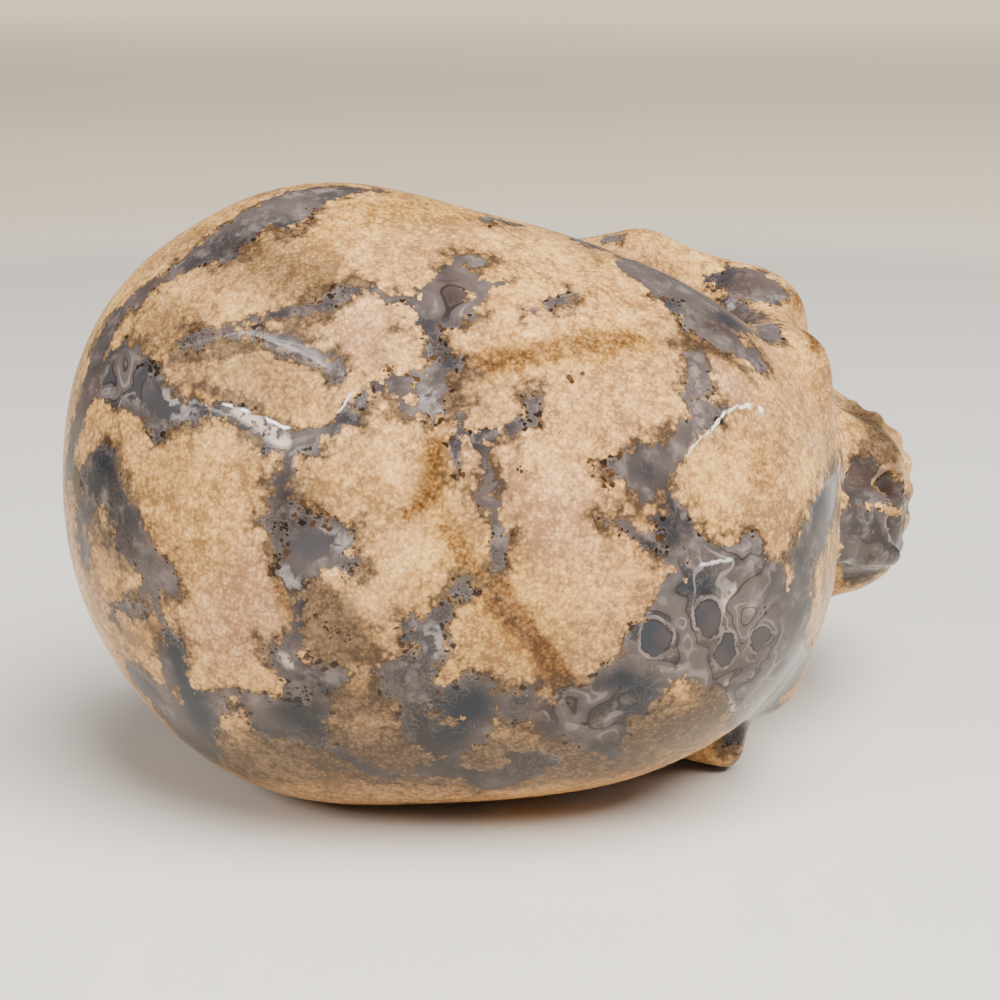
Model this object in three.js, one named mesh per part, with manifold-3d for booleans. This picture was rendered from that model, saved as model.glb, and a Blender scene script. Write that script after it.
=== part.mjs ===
// A skull carved from one piece of flower agate and polished all over, lying on its right side.
// It is shaped in its own frame, in millimetres: +X towards the face, +Y towards its left, +Z towards
// the crown, with the origin in the middle of the braincase. The last section lays it down, +Z up.
import * as THREE from "three";
import { mergeVertices } from "three/addons/utils/BufferGeometryUtils.js";
import Module from "manifold-3d";

// Driving dimensions of the carving
const VAULT_LENGTH = 73.5; // back of the head to the brow
const VAULT_WIDTH = 58;
const CROWN = 27.5; // height of the crown over the middle of the braincase
const CHEEK_HALF_WIDTH = 25.2; // midline to the outside of the cheekbone arch
const JAW_HALF_WIDTH = 23.4; // midline to the outside of the jaw's angle
const SOLE = -38.7; // level of the flat that the jaw is ground to
const MUZZLE = { centre: 23.5, length: 17.2, halfWidth: 11, power: 3 }; // outline of the tooth rows' bed

// Levels of the face, top to bottom
const BROW = -3;
const EYE = -9.6;
const CHEEK = -15.6;
const NOSTRIL = -18.4;
const UPPER_TEETH = -26.2;
const LOWER_TEETH = -30.9;
const CHIN = -35.6;

// How the carving lies: rolled from upright onto its right side, then turned until it rests
const REST = { roll: 82.31, turn: -3.89 };

const BACK_OF_HEAD = -41.7;
const vaultRadius = VAULT_WIDTH / 2;
const browFront = BACK_OF_HEAD + VAULT_LENGTH;

// Shapes. Each is a function that gives a point's distance to the shape, negative inside.

const radians = THREE.MathUtils.degToRad;

/** Moves a point into the frame of a shape placed at `at` and turned by `turn`, in degrees about X, Y, Z. */
function frameAt(at, turn) {
  const origin = new THREE.Vector3(...at);
  const unturn = new THREE.Quaternion().setFromEuler(new THREE.Euler(...turn.map(radians))).invert();
  const local = new THREE.Vector3();
  return (point) => local.copy(point).sub(origin).applyQuaternion(unturn);
}

/** An ellipsoid with the given half axes. */
function lump(at, [rx, ry, rz], turn = [0, 0, 0]) {
  const toLocal = frameAt(at, turn);
  return (point) => {
    const { x, y, z } = toLocal(point);
    const reach = Math.hypot(x / rx, y / ry, z / rz);
    const slope = Math.hypot(x / rx ** 2, y / ry ** 2, z / rz ** 2);
    return slope > 0 ? (reach * (reach - 1)) / slope : -Math.min(rx, ry, rz);
  };
}

/** A block with half sizes `half`, its edges rounded by `round`. */
function block(at, half, round, turn = [0, 0, 0]) {
  const toLocal = frameAt(at, turn);
  return (point) => {
    const { x, y, z } = toLocal(point);
    const [dx, dy, dz] = [Math.abs(x), Math.abs(y), Math.abs(z)].map((d, i) => d - half[i] + round);
    const outside = Math.hypot(Math.max(dx, 0), Math.max(dy, 0), Math.max(dz, 0));
    return outside + Math.min(Math.max(dx, dy, dz), 0) - round;
  };
}

/** A rod between two points, tapering from one radius to the other. */
function rod(from, to, startRadius, endRadius) {
  const start = new THREE.Vector3(...from);
  const along = new THREE.Vector3(...to).sub(start);
  const local = new THREE.Vector3();
  return (point) => {
    local.copy(point).sub(start);
    const share = THREE.MathUtils.clamp(local.dot(along) / along.lengthSq(), 0, 1);
    const radius = THREE.MathUtils.lerp(startRadius, endRadius, share);
    return local.addScaledVector(along, -share).length() - radius;
  };
}

/** An upright bed that follows the arch of the teeth in plan, from level `low` to level `high`. */
function archBed(low, high, inset, round) {
  const { centre, length, halfWidth, power } = MUZZLE;
  return ({ x, y, z }) => {
    const reach = (Math.abs((x - centre) / (length - inset)) ** power
      + Math.abs(y / (halfWidth - inset)) ** power) ** (1 / power);
    const aside = (reach - 1) * (halfWidth - inset) + round;
    const above = Math.abs(z - (low + high) / 2) - (high - low) / 2 + round;
    return Math.hypot(Math.max(aside, 0), Math.max(above, 0)) + Math.min(Math.max(aside, above), 0) - round;
  };
}

/** The same shape on the left and on the right of the plane y = `middle`. */
function pair(shape, soft = 1, middle = 0) {
  const left = new THREE.Vector3();
  const right = new THREE.Vector3();
  return ({ x, y, z }) => (
    softMin(shape(left.set(x, y - middle, z)), shape(right.set(x, middle - y, z)), soft));
}

/** The lesser of two distances, with the corner between them rounded over `soft` millimetres. */
function softMin(a, b, soft) {
  const near = Math.max(soft - Math.abs(a - b), 0) / soft;
  return Math.min(a, b) - (near * near * soft) / 4;
}

const grow = (shape, soft) => (distance, point) => softMin(distance, shape(point), soft);
const carve = (shape, soft) => (distance, point) => -softMin(-distance, shape(point), soft);

// The carving, in the order in which its forms are raised and cut

const vault = [
  grow(lump([BACK_OF_HEAD + 30.4, -0.6, 4], [30.4, vaultRadius, CROWN - 4]), 1),
  grow(lump([-20.8, 6.6, 4], [20, 20, 16.5]), 4), // the back of the head is fuller on its left
  grow(lump([browFront - 22.5, -0.9, 3], [22.5, 23.9, 21]), 10),
  grow(lump([-22, -0.6, -8], [17, 21.5, 13]), 5), // back of the neck
  grow(pair(lump([-17, 11, 5], [16, 17.4, 12.5])), 4), // bulge of the side, over the ear
  carve(pair(lump([12, 34.5, -9], [13, 14, 8])), 5), // hollow of the temple
];

// Shallow hollows where the stone was too coarse to polish flat
const hollows = [
  carve(lump([21.9, 6.1, 22.7], [6.4, 10.5, 4], [-15.6, 31.3, 0]), 0.6), // forehead
  carve(lump([-18.2, 12.5, 27.6], [13.9, 7, 4], [-19.6, -9.8, -8]), 0.6), // crown
];

const archFront = [23.6, 18.8, CHEEK];
const archMiddle = [10.4, CHEEK_HALF_WIDTH - 3, CHEEK + 0.8];
const archBack = [-5, CHEEK_HALF_WIDTH - 4.4, CHEEK + 2.6];

const cheeks = [
  grow(pair(rod(archFront, archMiddle, 3.4, 3), 1, 1.3), 3),
  grow(pair(rod(archMiddle, archBack, 3, 2.2), 1, 1.3), 3),
  grow(pair(block([5, 17.5, CHEEK + 0.6], [12, 4, 3], 2.4)), 2), // bone behind the arch
  grow(pair(lump([22, 17.2, CHEEK - 0.6], [6.2, 5.8, 4.6], [0, 0, -30])), 3),
];

const brows = [
  grow(pair(rod([27.9, 4.5, BROW - 0.6], [26.8, 15, BROW + 0.2], 4, 3.3), 3), 5),
  grow(pair(rod([25, 15.8, BROW], [23.6, 18.2, CHEEK + 2], 3.2, 2.8)), 2.5), // outer rim of the eye
  grow(block([21.6, -21.6, EYE + 1.6], [4, 3.7, 3.6], 1.2, [0, 0, -6]), 2), // its heavier right corner
];

const face = [
  grow(block([14, 0, -22], [17, 15.5, 14], 7), 4), // middle of the face and the throat
  grow(archBed(UPPER_TEETH - 1.6, CHEEK - 0.5, 0.5, 3.4), 3.5),
  carve(pair(lump([34, 15.6, -22.4], [7, 5, 5.6], [0, 0, -20])), 3), // hollow under the cheekbone
];

const nose = [
  grow(block([32.8, -1.2, -13.4], [7.4, 3.9, 3.6], 0.9, [0, 40, 0]), 2.2),
  carve(pair(lump([39.5, 2, NOSTRIL - 0.4], [7, 2.5, 3.9], [10, 0, 0]), 0.6), 0.8),
  carve(lump([40, 0, NOSTRIL + 1.8], [5, 1.8, 2.8]), 0.8),
];

const eyes = [
  carve(pair(lump([31.8, 11.2, EYE], [10.5, 6.4, 5.9], [12, 0, 14]), 0.5), 1.6),
];

const jaw = [
  grow(archBed(CHIN - 1.2, UPPER_TEETH + 2, 1.3, 3), 2.4), // bed behind both rows of teeth
  grow(lump([34.2, 0, CHIN], [5.4, 7.8, 4]), 2.5),
  grow(pair(rod([32, 6.5, CHIN], [21, 13.5, CHIN + 0.4], 3.8, 4)), 2.5),
  grow(pair(rod([21, 13.5, CHIN + 0.4], [3, JAW_HALF_WIDTH - 4, CHIN + 3], 4, 4)), 2.5),
  grow(pair(block([2.6, JAW_HALF_WIDTH - 3.4, -24.5], [6, 3, 10.5], 2.6, [3, 10, 0])), 2.5), // rising branch
  carve(pair(lump([17, 21, -25.2], [7.6, 5.4, 4.8], [0, -6, 0])), 3), // gap between branch and cheekbone
  carve(pair(lump([-9.6, 20, -29], [6.5, 12, 7.5])), 4), // behind the jaw's angle
];

const base = [
  grow(block([-4, 0, -30], [9, 10, 12], 5), 4), // neck
  grow(pair(lump([-8, 19.4, -17.5], [4.6, 3.8, 6.4], [0, 12, 0])), 3), // bone behind the ear
  carve(pair(lump([-1.6, 25, -11.6], [1.7, 4.4, 1.9])), 0.8), // ear opening
  carve(lump([11, 0, -41], [15, 9.5, 5]), 2.5), // hollow between the jaw's branches
];

const STEPS = [vault, hollows, cheeks, brows, face, nose, eyes, jaw, base].flat();
const distanceTo = (point) => STEPS.reduce((distance, step) => step(distance, point), Infinity);

// The skin: a ball of triangles shrunk onto the carving, finer where the carving bends more tightly

const STEP = 0.05;

/** Sets `normal` to the carving's outward direction at a point and returns the distance to its surface. */
function look(point, normal) {
  const probe = new THREE.Vector3();
  for (let axis = 0; axis < 3; axis += 1) {
    const level = point.getComponent(axis);
    const ahead = distanceTo(probe.copy(point).setComponent(axis, level + STEP));
    const behind = distanceTo(probe.copy(point).setComponent(axis, level - STEP));
    normal.setComponent(axis, (ahead - behind) / (2 * STEP));
  }
  const steepness = Math.max(normal.length(), 0.3);
  normal.divideScalar(steepness).normalize();
  return distanceTo(point) / steepness;
}

/** A closed skin of triangles that can be split, merged and turned until they have the wanted size. */
class Skin {
  constructor(ball, finest, coarsest, slack) {
    ball.deleteAttribute("normal");
    ball.deleteAttribute("uv");
    const merged = mergeVertices(ball, 1e-4);
    const position = merged.getAttribute("position");
    const corners = Array.from(merged.getIndex().array);
    this.points = Array.from({ length: position.count }, (_, i) => (
      new THREE.Vector3().fromBufferAttribute(position, i)));
    this.faces = Array.from({ length: corners.length / 3 }, (_, i) => corners.slice(3 * i, 3 * i + 3));
    this.normals = this.points.map(() => new THREE.Vector3());
    Object.assign(this, { finest, coarsest, slack });
    this.points.forEach((point, i) => look(point, this.normals[i]));
    this.measure();
  }

  /** Finds each point's neighbours, the face on each side of an edge and the edge length wanted there. */
  measure() {
    const { points, faces, normals } = this;
    this.neighbours = points.map(() => new Set());
    this.across = new Map();
    faces.forEach((face, f) => {
      face.forEach((a, i) => {
        const b = face[(i + 1) % 3];
        this.neighbours[a].add(b);
        this.neighbours[b].add(a);
        this.across.set(this.key(a, b), { face: f, apex: face[(i + 2) % 3] });
      });
    });
    this.size = points.map((point, i) => {
      let bend = 0;
      this.neighbours[i].forEach((n) => {
        bend = Math.max(bend, normals[i].distanceTo(normals[n]) / point.distanceTo(points[n]));
      });
      return THREE.MathUtils.clamp(Math.sqrt((8 * this.slack) / (bend + 1e-6)), this.finest, this.coarsest);
    });
    this.size = this.size.map((size, i) => {
      const around = [...this.neighbours[i]];
      return Math.min(size, ...around.map((n) => this.size[n] + 0.4 * points[i].distanceTo(points[n])));
    });
  }

  key(a, b) {
    return a * 100000 + b;
  }

  /** All edges once, with their length as a share of the wanted one. */
  edges() {
    const list = [];
    this.neighbours.forEach((around, a) => {
      around.forEach((b) => {
        if (a < b) {
          const wanted = (this.size[a] + this.size[b]) / 2;
          list.push({ a, b, share: this.points[a].distanceTo(this.points[b]) / wanted });
        }
      });
    });
    return list;
  }

  /** Halves edges that are too long, the worst first, each face at most once. */
  split() {
    const busy = new Set();
    const long = this.edges().filter(({ share }) => share > 1.35).sort((e, f) => f.share - e.share);
    for (const { a, b } of long) {
      const left = this.across.get(this.key(a, b));
      const right = this.across.get(this.key(b, a));
      if (busy.has(left.face) || busy.has(right.face)) continue;
      busy.add(left.face).add(right.face);
      const middle = this.points.length;
      this.points.push(this.points[a].clone().lerp(this.points[b], 0.5));
      this.normals.push(this.normals[a].clone().add(this.normals[b]).normalize());
      this.faces[left.face] = [a, middle, left.apex];
      this.faces[right.face] = [b, middle, right.apex];
      this.faces.push([middle, b, left.apex], [middle, a, right.apex]);
    }
    this.measure();
  }

  /** The direction a face looks in, its corner `from` moved to where the corner `to` is. */
  facing(face, from, to) {
    const [p, q, r] = face.map((corner) => this.points[corner === from ? to : corner]);
    return new THREE.Vector3().subVectors(q, p).cross(new THREE.Vector3().subVectors(r, p)).normalize();
  }

  /** Draws the ends of edges that are too short together into one point. */
  merge() {
    const busy = new Set();
    const gone = new Map();
    const around = this.points.map(() => []);
    this.faces.forEach((face) => face.forEach((corner) => around[corner].push(face)));
    const short = this.edges().filter(({ share }) => share < 0.7).sort((e, f) => e.share - f.share);
    for (const { a, b } of short) {
      const shared = [...this.neighbours[a]].filter((n) => this.neighbours[b].has(n));
      const touched = [a, b, ...this.neighbours[a], ...this.neighbours[b]];
      if (shared.length !== 2 || shared.some((n) => this.neighbours[n].size < 5)) continue;
      if (touched.some((n) => busy.has(n))) continue;
      const kept = around[b].filter((face) => !face.includes(a));
      if (kept.some((face) => this.facing(face).dot(this.facing(face, b, a)) < 0.5)) continue;
      touched.forEach((n) => busy.add(n));
      gone.set(b, a);
    }
    const place = [];
    let count = 0;
    this.points.forEach((_, i) => { place[i] = gone.has(i) ? -1 : count++; });
    this.faces = this.faces
      .map((face) => face.map((corner) => place[gone.get(corner) ?? corner]))
      .filter(([a, b, c]) => a !== b && b !== c && c !== a);
    this.points = this.points.filter((_, i) => !gone.has(i));
    this.normals = this.normals.filter((_, i) => !gone.has(i));
    this.measure();
  }

  /** The angle at `apex` of a face over the edge from `a` to `b`. */
  angle(apex, a, b) {
    const [tip, p, q] = [apex, a, b].map((i) => this.points[i]);
    return new THREE.Vector3().subVectors(p, tip).angleTo(new THREE.Vector3().subVectors(q, tip));
  }

  /** Swaps the diagonal of two faces where the other one makes better triangles. */
  turn() {
    const busy = new Set();
    for (const { a, b } of this.edges()) {
      const left = this.across.get(this.key(a, b));
      const right = this.across.get(this.key(b, a));
      const [c, d] = [left.apex, right.apex];
      if (busy.has(left.face) || busy.has(right.face) || this.neighbours[c].has(d)) continue;
      if (this.neighbours[a].size < 5 || this.neighbours[b].size < 5) continue;
      if (this.angle(c, a, b) + this.angle(d, a, b) < Math.PI * 1.02) continue;
      const old = this.facing([a, b, c]).add(this.facing([b, a, d])).normalize();
      if (this.facing([a, d, c]).dot(old) < 0.7 || this.facing([d, b, c]).dot(old) < 0.7) continue;
      busy.add(left.face).add(right.face);
      this.faces[left.face] = [a, d, c];
      this.faces[right.face] = [d, b, c];
      this.neighbours[a].delete(b);
      this.neighbours[b].delete(a);
      this.neighbours[c].add(d);
      this.neighbours[d].add(c);
    }
    this.measure();
  }

  /** Evens the points out along the surface and brings each one closer to it. */
  settle() {
    const pull = new THREE.Vector3();
    this.points.forEach((point, i) => {
      const normal = this.normals[i];
      pull.set(0, 0, 0);
      this.neighbours[i].forEach((n) => pull.add(this.points[n]));
      pull.divideScalar(this.neighbours[i].size).sub(point);
      point.addScaledVector(pull.addScaledVector(normal, -pull.dot(normal)), 0.5);
      const gap = look(point, normal);
      point.addScaledVector(normal, -THREE.MathUtils.clamp(gap, -1.2, 1.2));
    });
  }

  shrinkOn(rounds) {
    for (let round = 0; round < rounds; round += 1) {
      this.split();
      this.merge();
      this.turn();
      this.settle();
    }
    return this;
  }

  geometry() {
    const geometry = new THREE.BufferGeometry().setFromPoints(this.points);
    return geometry.setIndex(this.faces.flat());
  }
}

// Pieces that are joined to the skin or cut from it as solids

const wasm = await Module();
wasm.setup();

function solidOf(geometry) {
  const bare = geometry.clone();
  bare.deleteAttribute("normal");
  bare.deleteAttribute("uv");
  const merged = mergeVertices(bare, 1e-4);
  return new wasm.Manifold(new wasm.Mesh({
    numProp: 3,
    vertProperties: new Float32Array(merged.getAttribute("position").array),
    triVerts: new Uint32Array(merged.getIndex().array),
  }));
}

function geometryOf(solid) {
  const { numProp, vertProperties, triVerts } = solid.getMesh();
  const geometry = new THREE.BufferGeometry();
  const data = new THREE.InterleavedBuffer(new Float32Array(vertProperties), numProp);
  geometry.setAttribute("position", new THREE.InterleavedBufferAttribute(data, 3, 0));
  geometry.setIndex(new THREE.BufferAttribute(new Uint32Array(triVerts), 1));
  return geometry;
}

/** The left half of a tooth row's line at a level: from the midline round to the back teeth. */
function toothLine(level, inset) {
  const { centre, length, halfWidth, power } = MUZZLE;
  const points = [];
  for (let angle = 0; angle <= 80; angle += 4) {
    const [c, s] = [Math.cos(radians(angle)), Math.sin(radians(angle))];
    points.push(new THREE.Vector3(
      centre + (length - inset) * c ** (2 / power),
      (halfWidth - inset) * s ** (2 / power),
      level,
    ));
  }
  return new THREE.CatmullRomCurve3(points);
}

/** A rounded tooth crown of the given width and height. */
function toothCrown(width, height, thickness) {
  const crown = new THREE.SphereGeometry(1, 8, 6);
  const position = crown.getAttribute("position");
  const squared = (value, power) => Math.sign(value) * Math.abs(value) ** power;
  for (let i = 0; i < position.count; i += 1) {
    position.setXYZ(
      i,
      (squared(position.getX(i), 0.8) * thickness) / 2,
      (squared(position.getZ(i), 0.8) * width) / 2,
      (squared(position.getY(i), 0.7) * -height) / 2,
    );
  }
  return crown;
}

/** All crowns of one row. Each tooth is as wide as `widths` says, counted from the midline. */
function toothRow({ level, inset, widths, height, thickness }) {
  const line = toothLine(level, inset);
  const total = line.getLength();
  const crowns = [];
  let walked = 0;
  for (const width of widths) {
    const share = (walked + width / 2) / total;
    const at = line.getPointAt(share);
    const heading = line.getTangentAt(share);
    for (const side of [1, -1]) {
      const crown = toothCrown(width * 1.08, height, thickness);
      crown.rotateZ(side * (Math.atan2(heading.y, heading.x) - Math.PI / 2));
      crown.translate(at.x, side * at.y, at.z);
      crowns.push(solidOf(crown));
    }
    walked += width;
  }
  return crowns;
}

const UPPER_ROW = {
  level: UPPER_TEETH, inset: 0.9, widths: [3, 2.6, 2.8, 2.6, 2.6, 3], height: 4.8, thickness: 3,
};
const LOWER_ROW = {
  level: LOWER_TEETH, inset: 1.2, widths: [2.4, 2.5, 2.7, 2.6, 2.8, 3], height: 4.6, thickness: 3,
};

/** Below the sole the carving is ground away to a flat. */
function groundAway() {
  const size = 2 * VAULT_LENGTH;
  return solidOf(new THREE.BoxGeometry(size, size, size).translate(0, 0, SOLE - size / 2));
}

const ball = new THREE.IcosahedronGeometry(1, 9).scale(50, 36, 44).translate(-2, 0, -6);
const skin = new Skin(ball, 3, 3, 0.07).shrinkOn(24);
Object.assign(skin, { finest: 1.5, coarsest: 5.5, slack: 0.15 });
skin.measure();
skin.shrinkOn(16);
const carving = [...toothRow(UPPER_ROW), ...toothRow(LOWER_ROW)]
  .reduce((whole, crown) => whole.add(crown), solidOf(skin.geometry()))
  .subtract(groundAway());

// Laid on its right side, with the origin under the middle of its bounding box

const stone = new THREE.MeshStandardMaterial({ color: 0xb89c80, roughness: 0.12, metalness: 0 });
const skull = new THREE.Mesh(geometryOf(carving), stone);
skull.name = "skull";
skull.rotation.set(radians(REST.roll), 0, radians(REST.turn));

const laid = new THREE.Box3().setFromObject(skull, true);
skull.position.set(-(laid.min.x + laid.max.x) / 2, -(laid.min.y + laid.max.y) / 2, -laid.min.z);

const model = new THREE.Group();
model.add(skull);
export default model;
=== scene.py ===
"""A polished flower agate skull lying on its right side on a pale table, seen from above its crown."""
import math

import bpy
import numpy as np
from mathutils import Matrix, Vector
from mathutils.bvhtree import BVHTree
from mathutils.kdtree import KDTree


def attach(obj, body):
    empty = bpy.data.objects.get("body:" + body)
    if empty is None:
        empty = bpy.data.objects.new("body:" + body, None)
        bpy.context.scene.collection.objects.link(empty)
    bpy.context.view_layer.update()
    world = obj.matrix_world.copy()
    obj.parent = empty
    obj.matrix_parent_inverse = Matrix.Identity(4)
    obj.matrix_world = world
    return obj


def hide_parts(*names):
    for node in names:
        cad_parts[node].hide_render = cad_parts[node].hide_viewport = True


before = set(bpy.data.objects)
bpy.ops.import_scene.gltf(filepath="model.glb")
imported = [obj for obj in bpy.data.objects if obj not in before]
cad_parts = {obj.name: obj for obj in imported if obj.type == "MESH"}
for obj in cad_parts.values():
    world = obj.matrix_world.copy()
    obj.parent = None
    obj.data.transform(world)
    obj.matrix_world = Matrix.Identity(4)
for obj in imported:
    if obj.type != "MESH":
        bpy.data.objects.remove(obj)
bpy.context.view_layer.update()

# The skull
# One piece of flower agate: braincase, face, teeth and jaw are ground from the same stone and polished
# all over. Its skin is a fine copy of the solid, with the facets polished away: the wider a facet, the
# wider the polishing, so that the braincase comes out even and the teeth stay crisp.
SAME_PLACE, SKIN_VOXEL = 1e-6, 0.00051  # metres
CRISP_FACET, WIDE_FACET, FACET_BLEND = 1.9, 4.5, 0.3  # millimetres
NEAREST_FACETS = 4
LEAST_POLISH, POLISH_CURVE = 0.02, 1.5
POLISHING_PASSES, PASS_STRENGTH = 110, 0.6
BLUR_PASSES = 7

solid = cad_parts["skull"]
skull = bpy.data.objects.new("agate_skull", solid.data.copy())
bpy.context.scene.collection.objects.link(skull)
bpy.ops.object.select_all(action="DESELECT")
bpy.context.view_layer.objects.active = skull
skull.select_set(True)
bpy.ops.object.mode_set(mode="EDIT")
bpy.ops.mesh.select_all(action="SELECT")
bpy.ops.mesh.remove_doubles(threshold=SAME_PLACE)
bpy.ops.object.mode_set(mode="OBJECT")


def points_of(mesh):
    """The mesh's points, in millimetres."""
    flat = np.empty(3 * len(mesh.vertices))
    mesh.vertices.foreach_get("co", flat)
    return 1000 * flat.reshape(-1, 3)


def edges_of(mesh):
    """The two ends of each of the mesh's edges."""
    flat = np.empty(2 * len(mesh.edges), int)
    mesh.edges.foreach_get("vertices", flat)
    return flat.reshape(-1, 2)


facets = points_of(skull.data)
facet_edges = edges_of(skull.data)
facet_lengths = np.linalg.norm(facets[facet_edges[:, 0]] - facets[facet_edges[:, 1]], axis=1)
facet_ends = facet_edges.ravel()
facet_size = np.bincount(facet_ends, weights=np.repeat(facet_lengths, 2)) / np.bincount(facet_ends)

rounding = skull.modifiers.new("rounding", "SUBSURF")
rounding.levels = rounding.render_levels = 1
bpy.ops.object.modifier_apply(modifier="rounding")
skin = skull.modifiers.new("skin", "REMESH")
skin.mode = "VOXEL"
skin.voxel_size = SKIN_VOXEL
bpy.ops.object.modifier_apply(modifier="skin")

rough_skin = points_of(skull.data)
skin_edges = edges_of(skull.data)
point_count = len(rough_skin)
edge_starts = np.concatenate([skin_edges[:, 0], skin_edges[:, 1]])
edge_ends = np.concatenate([skin_edges[:, 1], skin_edges[:, 0]])
neighbour_count = np.bincount(edge_starts)


def evened(values, passes, strength=1.0):
    """Draws each point's value, pass by pass, towards the mean of the points it shares an edge with."""
    for _ in range(passes):
        columns = values.reshape(point_count, -1).T
        sums = [np.bincount(edge_starts, weights=column[edge_ends]) for column in columns]
        mean = (np.stack(sums, 1) / neighbour_count[:, None]).reshape(values.shape)
        values = values + strength * (mean - values)
    return values


facet_tree = KDTree(len(facets))
for i, facet in enumerate(facets):
    facet_tree.insert(facet, i)
facet_tree.balance()
reach = np.empty(point_count)
for i, point in enumerate(rough_skin):
    near = facet_tree.find_n(point, NEAREST_FACETS)
    closeness = [1 / (distance + FACET_BLEND) for _, _, distance in near]
    reach[i] = sum(facet_size[k] * c for (_, k, _), c in zip(near, closeness)) / sum(closeness)
polish = np.clip((reach - CRISP_FACET) / (WIDE_FACET - CRISP_FACET), LEAST_POLISH, 1) ** POLISH_CURVE
polish = evened(polish, BLUR_PASSES)


def skin_normals():
    """The direction that each point of the skin faces."""
    flat = np.empty(3 * point_count)
    skull.data.vertices.foreach_get("normal", flat)
    return flat.reshape(-1, 3)


def lay_skin(points):
    """Moves the skin to the given points, in millimetres."""
    skull.data.vertices.foreach_set("co", (points / 1000).ravel())
    skull.data.update()


# Evening out draws the skin inwards, so it is put back outwards by as much, evened in the same way.
polished = evened(rough_skin, POLISHING_PASSES, PASS_STRENGTH * polish[:, None])
lay_skin(polished)
outward = skin_normals()
sunk = ((rough_skin - polished) * outward).sum(1)
sunk = evened(sunk, POLISHING_PASSES, PASS_STRENGTH * polish)
lay_skin(polished + sunk[:, None] * outward)

# The viewpoint
# The camera of the photograph: it looks down on the crown from a little above the table. The stone's
# markings are placed as they are seen from here, across and down from the picture's top left corner.
# An outline has two numbers for each place, and a stroke has its half width there as the third.
AZIMUTH, ELEVATION, DISTANCE = math.radians(6), math.radians(15.6), 0.220
LENS, SENSOR_WIDTH = 79.58, 36  # millimetres
TARGET = Vector((-0.00077, 0, 0.02658))
PICTURE_WIDTH = 1000
MIDDLE = PICTURE_WIDTH / 2
MM_PER_PIXEL = 0.097
GRAZING = 0.02
SIGHT_START, FARTHEST, FARTHEST_STAIN = 0.1, 7.0, 12.0  # millimetres
EDGE_BLUR_PASSES = 8
NO_LENGTH = 1e-9

to_camera = Vector((
    math.sin(AZIMUTH) * math.cos(ELEVATION),
    -math.cos(AZIMUTH) * math.cos(ELEVATION),
    math.sin(ELEVATION),
))
bpy.ops.object.camera_add(location=TARGET + DISTANCE * to_camera)
camera = bpy.context.object
camera.rotation_euler = to_camera.to_track_quat("Z", "Y").to_euler()
camera.data.lens = LENS
camera.data.clip_start, camera.data.clip_end = 0.01, 10
bpy.context.scene.camera = camera
bpy.context.view_layer.update()

points = points_of(skull.data)
normals = skin_normals()
stone_tree = BVHTree.FromObject(skull, bpy.context.evaluated_depsgraph_get())
turn = np.array(camera.matrix_world.to_3x3())
sights = points - 1000 * np.array(camera.location)
from_camera = sights @ turn
slopes = from_camera[:, :2] * (1, -1) / -from_camera[:, 2:]
in_picture = MIDDLE + slopes * LENS / SENSOR_WIDTH * PICTURE_WIDTH
facing = -(normals * sights).sum(1) / np.linalg.norm(sights, axis=1)


def in_sight(i):
    """Whether nothing of the stone hides a point from the camera."""
    start = Vector(points[i] + SIGHT_START * normals[i]) / 1000
    return stone_tree.ray_cast(start, camera.location - start)[0] is None


seen = np.array([facing[i] > GRAZING and in_sight(i) for i in range(point_count)], float)
seen_softly = evened(seen, EDGE_BLUR_PASSES)


def on_stone(x, y):
    """The point of the stone seen at a place in the picture, or at the stone's rim nearest to it."""
    sight = Vector(((x - MIDDLE) / PICTURE_WIDTH, (MIDDLE - y) / PICTURE_WIDTH, -LENS / SENSOR_WIDTH))
    hit = stone_tree.ray_cast(camera.location, camera.matrix_world.to_3x3() @ sight)[0]
    if hit is None:
        away = np.linalg.norm(in_picture - (x, y), axis=1) + PICTURE_WIDTH * (1 - seen)
        return points[np.argmin(away)]
    return 1000 * np.array(hit)


def along(starts, ends, farthest=FARTHEST):
    """Distance to the nearest of some short lines, and how far along which line it is."""
    low = np.minimum(starts, ends).min(0) - farthest
    high = np.maximum(starts, ends).max(0) + farthest
    near = np.flatnonzero(((points > low) & (points < high)).all(1))
    best = np.full(point_count, farthest)
    share = np.zeros(point_count)
    which = np.zeros(point_count, int)
    for k, (start, end) in enumerate(zip(starts, ends)):
        line = end - start
        t = np.clip((points[near] - start) @ line / max(line @ line, NO_LENGTH), 0, 1)
        distance = np.linalg.norm(points[near] - start - t[:, None] * line, axis=1)
        closer = distance < best[near]
        best[near[closer]] = distance[closer]
        share[near[closer]] = t[closer]
        which[near[closer]] = k
    return best, share, which


def inside_outline(outline):
    """How far each point lies inside an outline, in millimetres, negative outside it."""
    corners = np.array([on_stone(x, y) for x, y in outline])
    distance, _, _ = along(corners, np.roll(corners, -1, 0))
    inside = np.zeros(point_count, bool)
    x, y = in_picture.T
    for (x0, y0), (x1, y1) in zip(outline, outline[1:] + outline[:1]):
        if y0 != y1:
            inside ^= ((y0 > y) != (y1 > y)) & (x < (x1 - x0) * (y - y0) / (y1 - y0) + x0)
    return np.where(inside & (seen > 0), distance, -distance)


def inside_stroke(stroke):
    """How far each point lies inside a stroke, in millimetres, negative outside it."""
    places = np.array([on_stone(x, y) for x, y, _ in stroke])
    widths = MM_PER_PIXEL * np.array([width for _, _, width in stroke])
    if len(stroke) == 1:
        return widths[0] - np.linalg.norm(points - places[0], axis=1)
    distance, share, which = along(places[:-1], places[1:])
    return widths[which] * (1 - share) + widths[which + 1] * share - distance


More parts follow.
